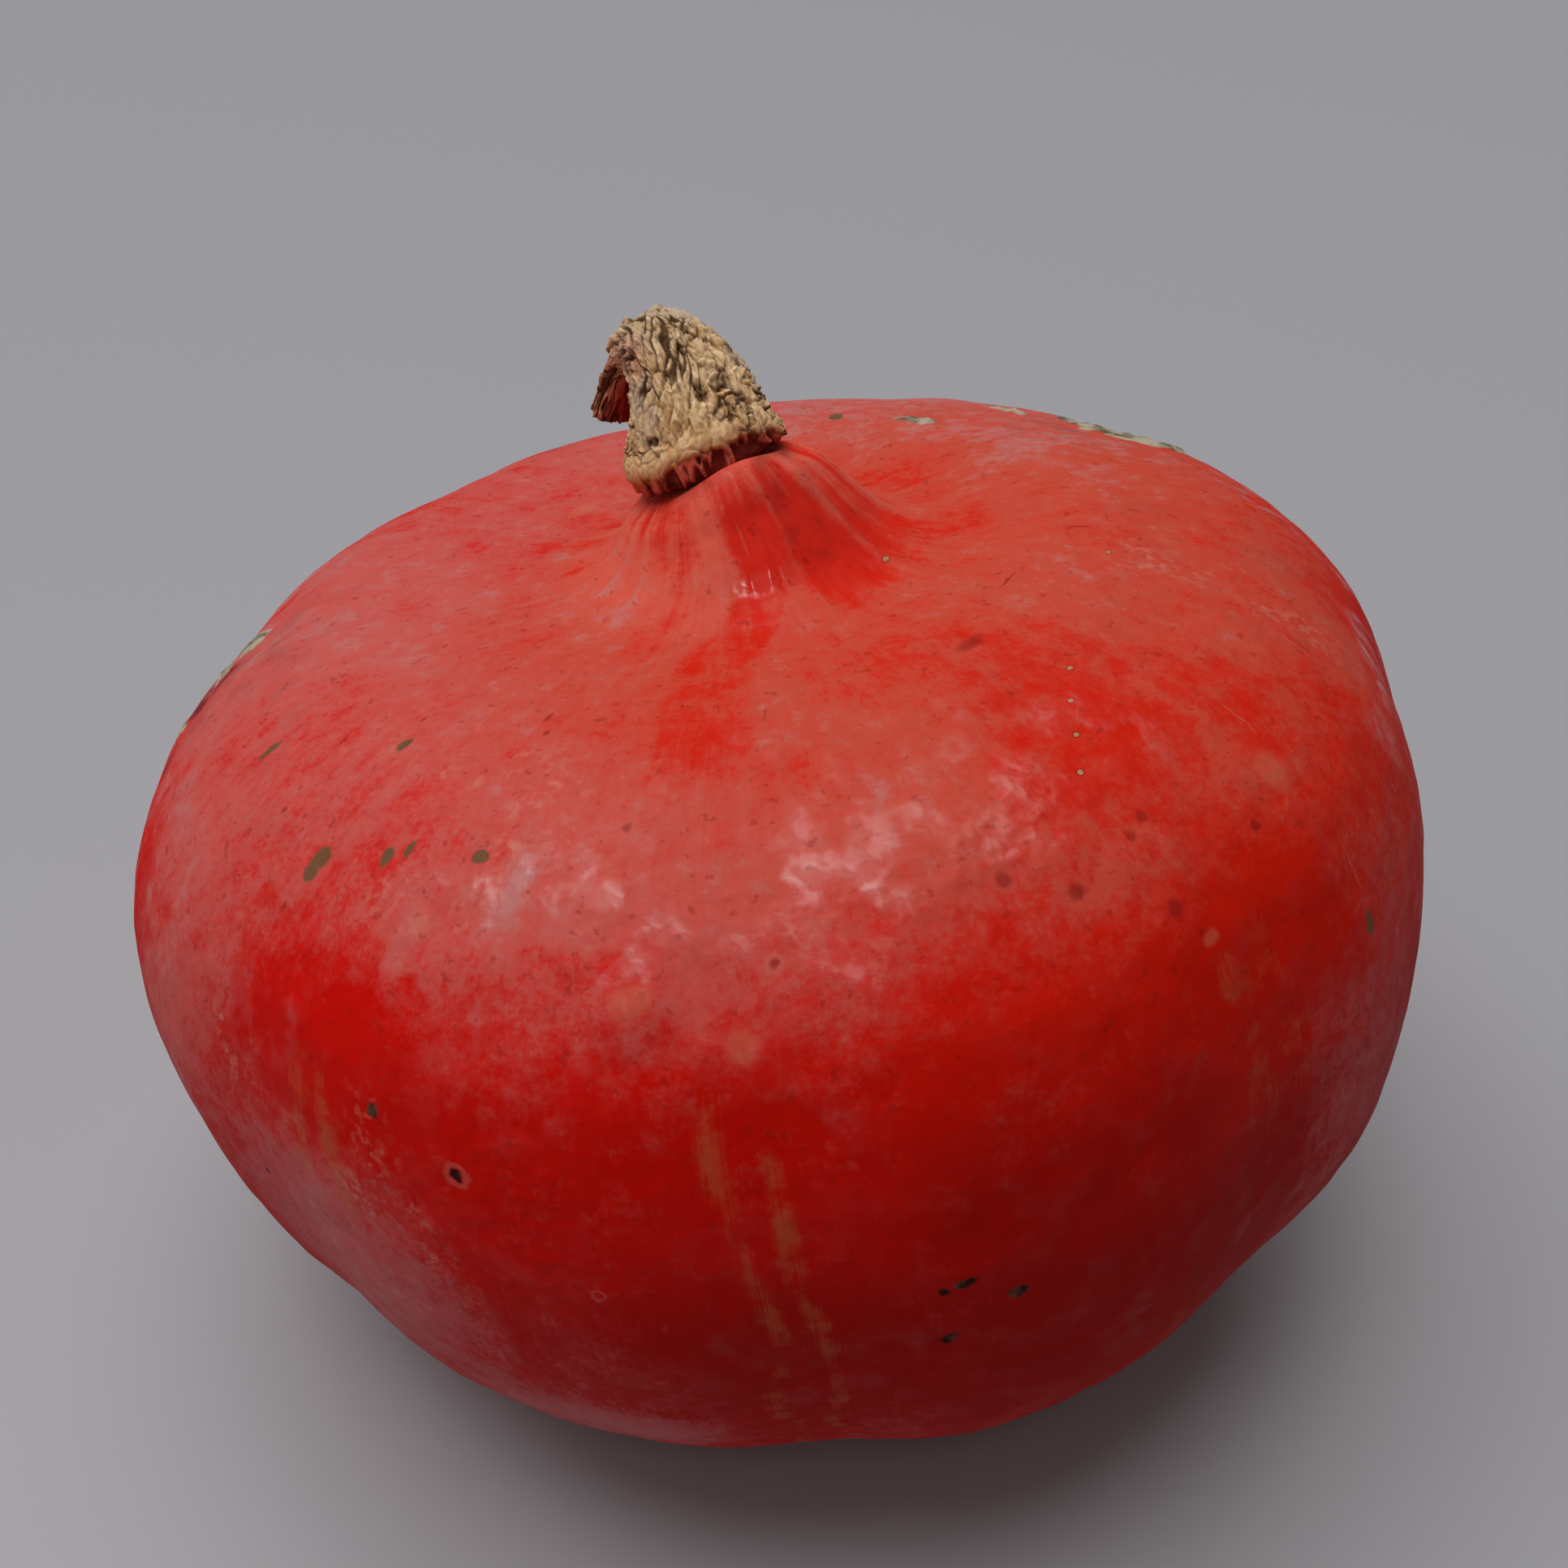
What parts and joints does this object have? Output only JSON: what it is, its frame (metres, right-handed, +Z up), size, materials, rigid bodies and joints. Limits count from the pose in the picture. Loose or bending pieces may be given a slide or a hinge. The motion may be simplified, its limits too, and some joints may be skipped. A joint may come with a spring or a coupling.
{
  "type": "red kuri squash",
  "caption": "Whole red kuri squash: a broad, faintly ribbed orange-red fruit with a short flared neck and a dry, corky stem folded over at the top.",
  "frame": {"origin": "middle of the bounding box, on the surface that the squash rests on", "axes": "+Z up, the front of the squash towards -Y, the neck leaning towards -X and the end of the stem hanging down behind and to the left"},
  "size_m": [0.1856, 0.1838, 0.1441],
  "materials": {
    "rind": "waxy orange-red rind, satin to glossy, with a pale bloom, pale streaks and small corky scars",
    "cork": "dry tan cork, matt, deeply wrinkled and cracked lengthwise"
  },
  "bodies": {
    "root": {"fruit": "rind", "stem": "cork"}
  },
  "joints": []
}
